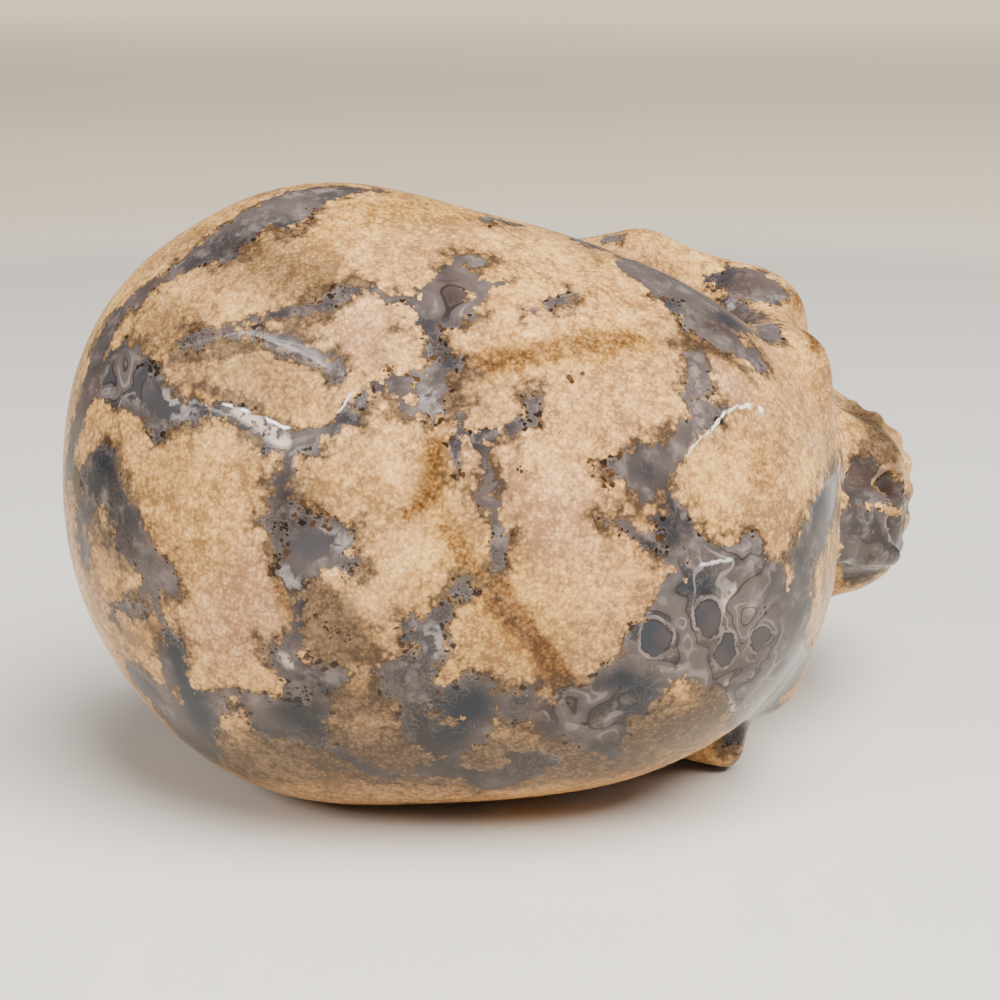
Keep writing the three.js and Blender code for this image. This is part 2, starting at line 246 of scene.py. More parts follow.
def wash(strokes, softness=1.0):
    """A soft stain along strokes: 1 in their middle, fading out past their half width.

    A fourth number in a stroke's first place is the strength of its middle, in place of 1.
    """
    stain = np.zeros(point_count)
    for stroke in strokes:
        places = np.array([on_stone(x, y) for x, y, *_ in stroke])
        widths = MM_PER_PIXEL * np.array([width for _, _, width, *_ in stroke])
        strength = stroke[0][3] if len(stroke[0]) > 3 else 1.0
        if len(stroke) == 1:
            distance, wide = np.linalg.norm(points - places[0], axis=1), widths[0]
        else:
            distance, share, which = along(places[:-1], places[1:], FARTHEST_STAIN)
            wide = widths[which] * (1 - share) + widths[which + 1] * share
        stain = np.maximum(stain, strength * np.exp(-((distance / wide) ** 2) * softness))
    return stain


def store(name, values):
    """Keeps a value for each point of the skin under a name that the stone's material reads."""
    attribute = skull.data.attributes.new(name, "FLOAT", "POINT")
    attribute.data.foreach_set("value", values.astype(np.float32))


# The unpolished hollows
# Two shallow hollows in the crown and the forehead were too coarse to polish flat. They lie a little
# deeper than the polished stone and end in a sharp rim. White is painted along parts of the rim as a
# painted glint, where light catches the sharp edge.
HOLLOW_DEPTH, RIM_WIDTH = 0.42, 0.45  # millimetres
RIM_SHARE_OUTSIDE = 0.3
HOLLOWS = [
    [(681, 463), (700, 440), (712, 430), (727, 410), (745, 405), (762, 408), (765, 420), (770, 440),
     (768, 460), (765, 490), (762, 515), (755, 535), (745, 550), (728, 560), (705, 565), (692, 562),
     (680, 535), (670, 505), (668, 485)],
    [(182, 350), (205, 342), (225, 338), (245, 335), (262, 342), (285, 352), (305, 362), (325, 372),
     (342, 380), (350, 390), (345, 402), (335, 416), (322, 426), (300, 429), (282, 426), (262, 416),
     (245, 410), (228, 404), (205, 400), (188, 396), (178, 385), (172, 370), (174, 357)],
]
# Painted glints: near-white colour laid along the hollows' rims where light catches the sharp edge.
PAINTED_RIM_GLINTS = [
    [(684, 458, 5), (700, 439, 6), (711, 428, 9), (726, 410, 7), (745, 403, 6), (760, 404, 8)],
    [(683, 470, 4, 0.5), (672, 500, 4)],
    [(700, 563, 5, 0.5), (728, 558, 5)],
    [(228, 405, 5), (258, 415, 7), (285, 428, 5)],
    [(335, 414, 5, 0.8), (348, 400, 6)],
]
hollow = np.full(point_count, -FARTHEST)
for outline in HOLLOWS:
    hollow = np.maximum(hollow, inside_outline(outline))
coarse = np.clip(hollow / RIM_WIDTH + RIM_SHARE_OUTSIDE, 0, 1)
coarse = coarse**2 * (3 - 2 * coarse)
points -= HOLLOW_DEPTH * coarse[:, None] * normals
lay_skin(points)
store("coarse", coarse)
store("hollow", hollow)
# The rim glints are painted highlight, not white stone.
store("painted_rim_glint", wash(PAINTED_RIM_GLINTS, softness=0.8))

# The chalcedony
# Grey and lavender chalcedony fills the spaces between the sugary plumes: in veins, pools and a wide
# field above the brow. Where the photograph shows it, its borders are drawn here. On the other sides
# it fills the gaps between round plumes that are spread over the stone.
PLUMES, PLUME_SEED = 74, 11
PLUME_RADII = (5.2, 9.6)  # millimetres
LEAST_SPREAD = 0.75
POOLS = [
    # band below the left side of the head
    [(124, 312), (135, 305), (150, 291), (163, 283), (176, 276), (195, 268), (207, 260), (222, 262),
     (234, 257), (240, 247), (256, 236), (272, 222), (290, 228), (303, 222), (312, 207), (330, 199),
     (350, 193), (372, 190), (350, 188), (310, 190), (285, 193), (270, 198), (262, 204), (248, 211),
     (232, 221), (215, 233), (200, 244), (188, 256), (175, 268), (165, 276), (150, 281), (138, 290),
     (126, 303)],
    # rim at the back of the head
    [(124, 306), (116, 325), (108, 345), (101, 360), (98, 385), (93, 402), (84, 420), (76, 445),
     (72, 470), (67, 478), (70, 440), (78, 400), (88, 365), (100, 335), (114, 312)],
    # blue-grey knot behind the crown
    [(99, 375), (110, 352), (124, 346), (136, 351), (148, 358), (160, 370), (168, 388), (174, 398),
     (192, 400), (198, 410), (198, 418), (178, 420), (168, 428), (160, 436), (152, 438), (147, 425),
     (140, 411), (128, 407), (112, 402), (98, 400), (95, 388)],
    # vein from the knot to the middle of the crown, with its loop
    [(174, 399), (200, 404), (222, 402), (234, 408), (250, 413), (268, 424), (290, 431), (308, 430),
     (326, 427), (340, 413), (352, 400), (366, 390), (380, 380), (396, 372), (412, 374), (430, 372),
     (440, 364), (442, 395), (440, 415), (434, 424), (427, 416), (424, 406), (412, 411), (403, 406),
     (398, 395), (390, 390), (378, 390), (365, 400), (352, 412), (354, 420), (340, 424), (334, 440),
     (328, 430), (320, 437), (316, 452), (306, 447), (296, 452), (284, 460), (278, 452), (266, 448),
     (260, 436), (250, 425), (236, 420), (222, 418), (210, 412), (196, 418), (178, 418)],
    # stem down to the small agate window, and the window
    [(284, 455), (296, 455), (290, 480), (288, 500), (300, 515), (325, 520), (345, 523), (350, 535),
     (346, 550), (354, 560), (357, 572), (343, 577), (338, 566), (325, 570), (315, 575), (306, 585),
     (300, 596), (292, 588), (282, 572), (276, 556), (272, 540), (268, 525), (262, 518), (275, 512),
     (272, 500), (276, 480), (279, 462)],
    [(296, 588), (304, 600), (302, 630), (301, 648), (290, 653), (282, 656), (278, 650), (288, 640),
     (294, 625), (294, 605)],
    # pool below it
    [(268, 648), (280, 648), (296, 652), (305, 665), (330, 672), (337, 668), (352, 668), (345, 676),
     (333, 690), (330, 700), (328, 715), (325, 730), (330, 745), (310, 745), (290, 742), (270, 735),
     (255, 728), (250, 715), (255, 705), (245, 700), (235, 698), (225, 696), (226, 690), (240, 688),
     (255, 695), (270, 698), (285, 700), (284, 685), (280, 672), (272, 660)],
    # dark blue pool low at the back
    [(168, 645), (175, 640), (182, 650), (182, 670), (188, 680), (198, 692), (212, 695), (222, 702),
     (224, 712), (218, 720), (215, 735), (222, 755), (215, 763), (205, 761), (190, 750), (178, 733),
     (165, 716), (150, 700), (140, 688), (130, 675), (126, 667), (138, 668), (148, 680), (160, 690),
     (165, 680), (163, 662)],
    # slanting band at the back
    [(90, 452), (105, 447), (116, 455), (116, 470), (122, 485), (124, 497), (130, 507), (138, 522),
     (145, 535), (155, 550), (167, 562), (173, 575), (178, 590), (172, 592), (160, 590), (156, 600),
     (163, 615), (172, 630), (176, 642), (168, 646), (163, 630), (155, 612), (148, 600), (140, 590),
     (145, 582), (138, 570), (125, 558), (118, 545), (115, 525), (110, 510), (100, 505), (92, 498),
     (84, 490), (80, 475), (86, 462)],
    [(79, 500), (88, 498), (100, 502), (92, 512), (83, 525), (87, 545), (87, 560), (83, 555), (80, 535),
     (77, 515)],
    # dark banded patch on the left of the crown
    [(455, 256), (470, 257), (487, 262), (478, 266), (466, 264), (467, 272), (480, 277), (490, 283),
     (505, 282), (492, 287), (486, 296), (480, 304), (472, 310), (473, 317), (464, 315), (460, 325),
     (450, 330), (440, 326), (438, 332), (443, 341), (437, 348), (430, 345), (425, 330), (418, 322),
     (413, 314), (403, 318), (410, 310), (402, 306), (390, 304), (381, 298), (383, 295), (400, 297),
     (415, 300), (420, 292), (428, 283), (438, 276), (447, 268)],
    [(432, 345), (445, 348), (458, 357), (462, 362), (450, 370), (442, 374), (440, 366), (433, 358),
     (428, 352)],
    # network below the middle
    [(447, 601), (440, 610), (428, 615), (420, 620), (410, 617), (402, 622), (397, 625), (402, 632),
     (412, 628), (405, 640), (420, 650), (405, 654), (396, 662), (390, 660), (378, 668), (386, 675),
     (385, 690), (392, 695), (402, 702), (402, 718), (405, 735), (415, 745), (425, 752), (440, 757),
     (458, 750), (480, 742), (492, 735), (490, 722), (495, 712), (495, 700), (487, 692), (487, 684),
     (478, 680), (470, 676), (455, 683), (440, 684), (433, 680), (430, 670), (435, 665), (447, 660),
     (444, 655), (449, 648), (446, 640), (440, 628), (445, 612)],
    [(457, 582), (468, 580), (474, 592), (466, 598), (452, 598)],
    # flank above the left temple, and the patch on the cheekbone
    [(612, 263), (628, 258), (650, 262), (680, 275), (710, 285), (740, 300), (765, 318), (783, 330),
     (778, 340), (765, 340), (752, 335), (748, 340), (757, 355), (768, 368), (760, 372), (748, 362),
     (735, 355), (722, 348), (705, 340), (690, 330), (683, 322), (680, 315), (665, 308), (655, 298),
     (648, 290), (640, 280), (625, 272)],
    [(700, 278), (720, 272), (735, 269), (760, 272), (776, 282), (782, 293), (775, 305), (755, 300),
     (740, 295), (715, 286)],
    [(572, 240), (590, 236), (616, 232), (622, 238), (612, 250), (600, 248), (585, 244)],
    # facet and hollow on the left of the brow
    [(684, 353), (700, 352), (706, 365), (708, 385), (703, 400), (710, 408), (724, 408), (720, 420),
     (710, 432), (700, 440), (690, 450), (683, 462), (676, 470), (670, 480), (668, 495), (672, 515),
     (680, 535), (690, 560), (695, 572), (690, 580), (675, 575), (665, 560), (655, 545), (650, 530),
     (655, 520), (665, 515), (665, 500), (655, 495), (640, 500), (632, 490), (625, 478), (610, 470),
     (600, 465), (605, 460), (620, 462), (632, 452), (645, 448), (658, 446), (668, 448), (672, 435),
     (683, 425), (694, 415), (690, 402), (682, 395), (690, 385), (692, 370)],
    # the wide field above the brow
    [(668, 572), (680, 578), (692, 578), (695, 572), (690, 555), (680, 530), (672, 512), (668, 495),
     (676, 492), (684, 505), (692, 522), (702, 536), (714, 546), (730, 546), (742, 541), (752, 532),
     (758, 540), (762, 552), (768, 562), (775, 567), (781, 560), (785, 575), (787, 588), (792, 575),
     (793, 555), (799, 538), (808, 520), (816, 500), (826, 482), (836, 470), (838, 480), (835, 505),
     (828, 525), (822, 548), (812, 562), (809, 580), (810, 602), (806, 622), (800, 640), (806, 650),
     (814, 648), (803, 672), (788, 692), (766, 713), (745, 735), (722, 748), (738, 728), (737, 716),
     (728, 714), (732, 700), (726, 690), (712, 688), (700, 681), (688, 677), (674, 680), (662, 690),
     (654, 702), (640, 712), (628, 720), (620, 738), (622, 757), (608, 760), (600, 748), (597, 734),
     (588, 725), (574, 722), (566, 712), (570, 704), (580, 699), (560, 701), (548, 700), (565, 692),
     (580, 690), (590, 684), (598, 674), (606, 662), (618, 660), (628, 655), (626, 640), (632, 630),
     (645, 620), (650, 606), (662, 595), (660, 584)],
    # right side of the head, low in the picture
    [(506, 700), (512, 692), (522, 697), (532, 690), (540, 700), (560, 702), (572, 708), (580, 722),
     (592, 728), (598, 745), (590, 750), (575, 742), (560, 735), (545, 740), (525, 720), (510, 722),
     (500, 712), (498, 702)],
    [(330, 745), (345, 752), (360, 760), (372, 768), (395, 773), (415, 770), (440, 760), (458, 752),
     (462, 765), (480, 770), (500, 772), (510, 755), (505, 745), (520, 752), (545, 750), (560, 762),
     (540, 770), (520, 780), (500, 788), (485, 788), (470, 780), (450, 776), (420, 776), (385, 777),
     (365, 772), (350, 762)],
    # flank and ridge of the nose
    [(840, 464), (858, 455), (872, 459), (890, 474), (903, 492), (907, 512), (890, 506), (862, 503),
     (842, 500)],
    [(840, 508), (860, 508), (885, 512), (903, 517), (904, 540), (902, 566), (880, 573), (858, 579),
     (838, 583)],
]
VEINS = [
    [(182, 342, 2), (200, 338, 4), (215, 333, 3), (235, 328, 4), (250, 320, 4), (262, 317, 3),
     (275, 314, 3), (290, 312, 4), (310, 309, 3), (325, 307, 3), (335, 298, 3), (345, 292, 3),
     (360, 290, 3), (372, 291, 2)],
    [(225, 333, 3), (245, 331, 3), (262, 338, 4), (280, 345, 6), (295, 350, 7), (310, 357, 7),
     (325, 367, 6), (340, 375, 4)],
    [(478, 440, 4), (484, 455, 3), (486, 470, 2), (488, 485, 4), (484, 497, 8), (490, 505, 6),
     (494, 518, 3), (498, 530, 6), (499, 545, 6), (495, 560, 4)],
    [(475, 440, 4), (490, 432, 3), (505, 430, 3), (520, 425, 4), (530, 418, 4), (533, 405, 3),
     (538, 397, 2)],
    [(462, 420, 4), (458, 440, 6), (455, 455, 3), (456, 470, 2)],
    [(110, 613, 1), (125, 608, 3), (140, 608, 3), (152, 611, 2)],
    [(606, 520, 1.5), (618, 521, 2.5), (628, 530, 4), (640, 538, 5), (652, 545, 6)],
    [(483, 222, 3), (490, 218, 4), (505, 221, 2), (520, 225, 1.5)],
    [(530, 312, 1), (544, 308, 2), (558, 300, 1.5), (570, 294, 2)],
    [(838, 465, 3), (842, 490, 4), (838, 520, 3)],
]
ISLANDS = [
    [(406, 386), (414, 384), (419, 396), (416, 408), (410, 411), (404, 400)],
    [(166, 684), (175, 683), (180, 692), (184, 701), (177, 703), (170, 695)],
    [(421, 711), (430, 706), (442, 708), (452, 715), (463, 720), (458, 726), (450, 728), (440, 722),
     (428, 716)],
    [(462, 290), (470, 288), (474, 295), (468, 302), (462, 299)],
    [(733, 333), (745, 330), (757, 340), (760, 352), (750, 350), (740, 344)],
]
chalcedony = np.full(point_count, -FARTHEST)
for outline in POOLS:
    chalcedony = np.maximum(chalcedony, inside_outline(outline))
for stroke in VEINS:
    chalcedony = np.maximum(chalcedony, inside_stroke(stroke))
for outline in ISLANDS:
    chalcedony = np.minimum(chalcedony, -inside_outline(outline))

plume_rng = np.random.default_rng(PLUME_SEED)
plumes = [0]
spread = np.linalg.norm(points - points[0], axis=1)
for _ in range(PLUMES - 1):
    plumes.append(int(np.argmax(spread * plume_rng.uniform(LEAST_SPREAD, 1, point_count))))
    spread = np.minimum(spread, np.linalg.norm(points - points[plumes[-1]], axis=1))
plume_radii = plume_rng.uniform(*PLUME_RADII, PLUMES)
between_plumes = np.full(point_count, np.inf)
for plume, radius in zip(plumes, plume_radii):
    between_plumes = np.minimum(between_plumes, np.linalg.norm(points - points[plume], axis=1) - radius)
chalcedony = seen_softly * chalcedony + (1 - seen_softly) * np.clip(between_plumes, -FARTHEST, FARTHEST)
store("chalcedony", chalcedony)

# Agate windows
# Small rounded pools in the chalcedony that filled up layer by layer: slate in the middle, with a dark
# outline and a pale band round them. Bands swirl past them, and milky rims line some other pools.
WINDOWS = [
    [(647, 622), (655, 621), (664, 624), (670, 632), (671, 642), (667, 650), (660, 656), (652, 655),
     (645, 648), (642, 640), (643, 628)],
    [(701, 600), (712, 601), (718, 610), (719, 622), (715, 635), (708, 640), (702, 637), (698, 625),
     (697, 612)],
    [(722, 645), (725, 637), (731, 635), (735, 641), (733, 648), (736, 655), (730, 664), (722, 667),
     (715, 661), (712, 655), (717, 649)],
    [(750, 645), (752, 635), (760, 629), (768, 630), (774, 637), (765, 642), (757, 652)],
]
MILKY_RIMS = [
    [(292, 545, 9), (306, 545, 14), (325, 543, 14), (342, 540, 9)],
    [(288, 575, 9), (294, 592, 8)],
    [(427, 395, 10), (437, 408, 10)],
    [(433, 630, 9), (436, 650, 9)],
    [(112, 380, 16), (140, 385, 14), (165, 405, 14), (190, 410, 10)],
]
SWIRLS = [
    [(660, 610, 30), (700, 640, 44), (745, 650, 44), (770, 690, 34)],
    [(690, 580, 20), (740, 580, 30)],
    [(600, 715, 26), (560, 705, 16)],
    [(870, 545, 40, 0.5)],
    [(450, 300, 20)],
    [(120, 390, 30)],
]
window = np.full(point_count, -FARTHEST)
for outline in WINDOWS:
    window = np.maximum(window, inside_outline(outline))
store("window", window)
store("milky_rim", wash(MILKY_RIMS, softness=0.8))
store("swirls", wash(SWIRLS, softness=0.7))

# Stains
# Iron has stained the plumes golden, ochre and rosy along old cracks, and left dark grains at their
# borders. Some chalcedony is milky, some slate blue, some brown; two of the milky marks are painted
# glints, light caught on polished rims. Umber clouds darken both. Some of the umber is painted shade:
# the stone gets darker towards the bottom near the table, partly browner stone and partly painted
# shade, and painted shade also darkens the upper left of the crown and the lower right rim.
GOLDEN_STAINS = [
    [(450, 375, 16, 1.2), (500, 360, 20), (560, 350, 20), (610, 342, 18), (650, 345, 12)],
    [(330, 235, 30, 0.7), (400, 208, 34), (480, 218, 20)],
    [(435, 450, 16, 0.8), (432, 500, 16), (460, 560, 18), (510, 620, 16), (560, 680, 14)],
    [(640, 720, 30, 0.7), (710, 715, 24)],
    [(700, 500, 30, 0.5), (715, 530, 20)],
    [(760, 450, 24, 0.5)],
    [(330, 470, 30, 0.4), (370, 480, 30)],
    [(140, 540, 14, 0.8)],
    [(157, 635, 14, 0.8)],
]
OCHRE_STAINS = [
    [(465, 370, 14, 0.8), (540, 353, 14), (600, 342, 16), (635, 340, 11)],
    [(455, 378, 12, 0.7), (460, 400, 10)],
    [(435, 445, 9, 0.8), (437, 470, 10), (433, 490, 10), (420, 505, 13), (410, 515, 11)],
    [(450, 530, 11, 0.8), (460, 545, 12), (465, 560, 12)],
    [(475, 575, 14, 1.4), (495, 590, 14), (508, 610, 12), (530, 635, 10), (545, 655, 10), (568, 688, 9)],
    [(143, 538, 9, 0.9)],
    [(157, 635, 12, 0.8)],
    [(758, 675, 5, 1.0)],
    [(272, 575, 7, 0.7), (282, 595, 8), (290, 615, 8)],
    [(826, 545, 7, 0.7), (824, 580, 8), (822, 610, 6)],
    [(800, 300, 14, 0.8), (812, 330, 12), (815, 350, 10)],
    [(350, 222, 20, 0.3), (430, 205, 20)],
    [(640, 720, 26, 0.4), (680, 715, 28), (710, 715, 20)],
    [(530, 725, 20, 0.5), (560, 735, 18)],
    [(400, 680, 20, 0.5), (425, 690, 12)],
    [(700, 340, 20, 0.55), (735, 355, 12)],
    [(760, 470, 18, 0.4)],
]
DARK_GRAINS = [
    [(258, 238, 6, 0.9)],
    [(240, 246, 6, 0.9)],
    [(152, 370, 9, 1.0)],
    [(142, 365, 6, 0.8)],
    [(402, 303, 5, 0.9)],
    [(388, 368, 6, 0.8)],
    [(440, 354, 6, 1.0)],
    [(456, 356, 5, 1.0)],
    [(526, 418, 6, 0.9)],
    [(303, 503, 7, 1.0)],
    [(300, 515, 10, 0.7), (325, 518, 9)],
    [(282, 525, 8, 0.9), (287, 550, 6), (272, 570, 5)],
    [(300, 698, 16, 1.0)],
    [(325, 690, 9, 1.0)],
    [(660, 520, 6, 0.7), (662, 552, 6)],
    [(596, 465, 6, 1.0)],
    [(612, 483, 7, 0.9)],
    [(521, 470, 8, 0.7)],
    [(575, 376, 9, 0.7)],
    [(400, 645, 6, 0.8)],
    [(318, 618, 8, 0.7), (335, 632, 12), (352, 642, 6)],
    [(308, 660, 9, 0.8)],
    [(543, 712, 5, 0.8)],
    [(538, 730, 5, 0.8)],
    [(650, 296, 6, 0.9), (678, 300, 8)],
    [(240, 712, 10, 0.7)],
    [(110, 440, 10, 0.5)],
    [(860, 415, 7, 0.8)],
    [(868, 436, 7, 0.7)],
    [(455, 690, 5, 0.8)],
    [(433, 695, 6, 0.8)],
    [(765, 610, 5, 0.9)],
    [(560, 430, 7, 0.5)],
    [(630, 340, 8, 0.4)],
    [(85, 490, 14, 0.4), (110, 530, 12)],
]
# Milky chalcedony; the stroke at (185, 408) and the one from (236, 411) to (284, 442) are painted
# glints, light reflected on the polished knot and vein.
MILKY_CLOUDS_AND_PAINTED_GLINTS = [
    [(282, 656, 6, 1.0), (290, 664, 7)],
    [(370, 755, 6, 1.0), (388, 765, 5)],
    [(185, 408, 8, 0.7)],
    [(396, 453, 4, 1.0)],
    [(208, 738, 4, 0.5)],
    [(390, 702, 5, 0.8)],
    [(694, 368, 10, 0.5), (698, 390, 8)],
    [(262, 340, 7, 0.6), (290, 352, 7), (330, 372, 5)],
    [(236, 411, 5, 1.2), (262, 424, 9), (284, 442, 8)],
    [(655, 668, 6, 0.7), (690, 672, 5)],
    [(733, 588, 6, 1.0), (724, 602, 5), (722, 612, 3)],
    [(752, 608, 9, 1.0)],
    [(728, 682, 6, 1.0)],
    [(672, 668, 4, 1.1), (690, 665, 4)],
    [(725, 700, 8, 0.8), (736, 712, 7)],
    [(756, 638, 4, 0.9)],
    [(697, 405, 9, 0.5), (700, 425, 9), (692, 443, 5)],
    [(730, 550, 6, 0.8), (745, 545, 5)],
    [(690, 535, 6, 0.5), (700, 552, 8)],
    [(590, 712, 5, 0.6)],
    [(240, 333, 6, 0.6), (320, 365, 7)],
    [(700, 270, 10, 0.4), (640, 264, 8)],
    [(290, 195, 14, 0.5), (330, 190, 10)],
    [(745, 548, 8, 0.5)],
    [(805, 615, 7, 0.6)],
]
SLATE_CLOUDS = [
    [(100, 465, 18, 1.0)],
    [(150, 560, 8, 0.5)],
    [(175, 650, 12, 1.0), (190, 690, 22), (200, 720, 22)],
    [(150, 690, 16, 0.9)],
    [(470, 700, 22, 1.0), (450, 735, 16)],
    [(640, 690, 24, 1.0), (620, 680, 16)],
    [(680, 580, 14, 1.0), (705, 588, 14)],
    [(778, 660, 18, 1.0), (775, 690, 12)],
    [(655, 520, 12, 0.6)],
    [(640, 470, 16, 0.4)],
    [(657, 640, 14, 1.0)],
    [(670, 305, 12, 0.8)],
    [(290, 714, 20, 0.9), (312, 728, 18)],
    [(448, 302, 18, 0.8)],
    [(700, 590, 12, 0.9)],
    [(520, 698, 12, 0.8)],
    [(820, 500, 10, 0.5), (800, 560, 12)],
]
BROWN_CLOUDS = [
    [(158, 400, 10, 0.9)],
    [(230, 245, 20, 0.4)],
    [(150, 285, 18, 0.6)],
    [(450, 295, 30, 0.7)],
    [(700, 320, 14, 0.7), (725, 330, 12)],
    [(750, 285, 22, 0.7)],
    [(660, 490, 10, 0.6)],
    [(690, 640, 30, 0.45), (745, 660, 24)],
    [(720, 680, 20, 0.5)],
    [(748, 584, 6, 1.0), (764, 584, 5)],
    [(768, 604, 5, 1.0)],
    [(690, 650, 8, 0.8)],
    [(668, 610, 8, 0.9)],
    [(520, 765, 34, 0.8), (560, 770, 20)],
    [(540, 715, 24, 0.7)],
    [(110, 525, 14, 0.7), (130, 550, 12)],
    [(310, 690, 14, 0.7)],
    [(600, 712, 12, 0.6)],
    [(870, 545, 18, 0.7)],
    [(860, 480, 22, 1.0), (885, 490, 18)],
]
ROSY_STAINS = [
    [(260, 590, 50, 0.8), (230, 630, 50)],
    [(360, 330, 40, 0.8)],
    [(380, 345, 30, 0.7)],
    [(480, 455, 26, 0.7)],
    [(715, 370, 16, 1.3), (735, 388, 16)],
    [(560, 320, 40, 0.4)],
    [(810, 440, 20, 0.6)],
    [(735, 700, 12, 0.8)],
    [(560, 520, 44, 0.8)],
    [(500, 480, 26, 0.9)],
]
# Umber clouds, partly painted shade: the band along the bottom is partly browner stone and partly
# painted shade; the clouds on the upper left of the crown and along the lower right rim are painted
# shade.
UMBER_CLOUDS_AND_PAINTED_SHADE = [
    [(190, 740, 36, 1.15), (240, 765, 50), (330, 750, 60), (440, 765, 60), (560, 765, 60),
     (690, 730, 54)],
    [(350, 705, 30, 0.9), (430, 715, 24)],
    [(305, 590, 14, 1.7), (322, 615, 28), (340, 640, 26)],
    [(850, 400, 24, 0.5), (870, 480, 24), (870, 590, 20)],
    [(285, 500, 12, 0.9), (278, 530, 12), (280, 560, 12)],
    [(485, 585, 9, 0.5), (505, 606, 10), (530, 640, 8)],
    [(75, 480, 16, 0.8), (90, 520, 18), (120, 560, 16)],
    [(100, 370, 14, 0.5)],
    [(380, 360, 14, 0.5)],
    [(675, 344, 7, 0.9), (700, 345, 8), (722, 354, 7), (745, 370, 6), (756, 385, 5)],
    [(120, 500, 30, 0.5)],
    [(300, 480, 26, 0.4)],
    [(470, 390, 34, 0.5)],
    [(300, 540, 26, 0.4)],
    [(260, 640, 30, 0.3)],
    [(230, 260, 50, 0.6), (310, 280, 40)],
    [(170, 330, 50, 0.5), (260, 380, 60)],
    [(400, 560, 60, 0.2)],
    [(862, 418, 30, 1.4), (885, 440, 26)],
    [(800, 620, 14, 0.8), (785, 670, 16), (755, 715, 16), (728, 740, 14)],
    [(420, 680, 20, 0.5)],
    [(290, 380, 60, 0.25)],
]
store("gold", wash(GOLDEN_STAINS))
store("ochre", wash(OCHRE_STAINS))
store("soot", wash(DARK_GRAINS, softness=0.8))
store("milk_and_glints", wash(MILKY_CLOUDS_AND_PAINTED_GLINTS))
store("slate", wash(SLATE_CLOUDS))
store("brown", wash(BROWN_CLOUDS))
store("rose", wash(ROSY_STAINS))
store("shade", wash(UMBER_CLOUDS_AND_PAINTED_SHADE))
store("sides", 1 - seen_softly)

# Polished stone
# The plumes are sugary: fine grains in rounded lumps, with scalloped borders. The chalcedony between
# them is smooth and shows layers that follow its borders. Everything is polished, but for two hollows.
# The colours of grains are ramps from the darkest to the palest grain.
CREAM_GRAINS = (
    (0.1, (0.25, 0.130, 0.052)),
    (0.38, (0.46, 0.245, 0.090)),
    (0.6, (0.65, 0.35, 0.125)),
    (0.82, (0.79, 0.455, 0.170)),
    (0.98, (0.90, 0.61, 0.31)),
)
GOLDEN_GRAINS = ((0.2, (0.27, 0.12, 0.026)), (0.9, (0.84, 0.48, 0.125)))
ROSY_GRAINS = ((0.3, (0.34, 0.175, 0.10)), (0.6, (0.62, 0.35, 0.20)), (0.9, (0.84, 0.60, 0.40)))
RUSTY_GRAINS = ((0.2, (0.08, 0.034, 0.009)), (0.5, (0.21, 0.092, 0.023)), (0.85, (0.45, 0.23, 0.065)))
# Umber grains darken the plumes in brown veils and where shade is painted.
UMBER_AND_SHADE_GRAINS = ((0.2, (0.040, 0.025, 0.014)), (0.5, (0.085, 0.054, 0.031)), (0.85, (0.16, 0.10, 0.056)))
GREY_POOL = (0.030, 0.028, 0.030)
LAVENDER_POOL = (0.095, 0.072, 0.064)
PALE_POOL = (0.17, 0.135, 0.120)
SLATE_POOL = (0.020, 0.024, 0.030)
BROWN_POOL = (0.050, 0.031, 0.023)
# Umber on the chalcedony, partly painted shade.
UMBER_AND_SHADE_POOL = (0.026, 0.021, 0.018)
RIMMED_POOL = (0.050, 0.046, 0.050)
LAYER = (0.22, 0.17, 0.15)
MILKY_RIM = (0.26, 0.225, 0.215)
PALE_LINE = (0.36, 0.29, 0.26)
DARK_LINE = (0.016, 0.010, 0.008)
# Milky white, also used for two painted glints.
MILK_AND_GLINTS = (0.50, 0.375, 0.31)
BROAD_BAND = (0.125, 0.097, 0.088)
PALE_BAND = (0.24, 0.195, 0.18)
DARK_BAND = (0.022, 0.014, 0.013)
BLUE_WINDOW = (0.030, 0.034, 0.041)
BROWN_WINDOW = (0.062, 0.050, 0.048)
WINDOW_OUTLINE = (0.020, 0.013, 0.012)
# Painted highlight for the hollows' rims.
PAINTED_GLINT_WHITE = (0.90, 0.84, 0.78)
DARK_IRON = (0.012, 0.006, 0.004)
RUSTY_IRON = (0.055, 0.022, 0.007)
CRACK = (0.03, 0.016, 0.010)
MEAN_OF_CELLS = 0.42
MEAN_OF_NOISE = 0.5
LAYER_WIDTH = 0.6  # millimetres
BANDS_PER_FLOW = 1.2
LARGEST_SPECK = 0.42
PLUME_ROUGHNESS, CHALCEDONY_ROUGHNESS, HOLLOW_ROUGHNESS = 0.26, 0.08, 0.12
AGATE_IOR = 1.54
RELIEF_DEPTH = 0.0002  # metres


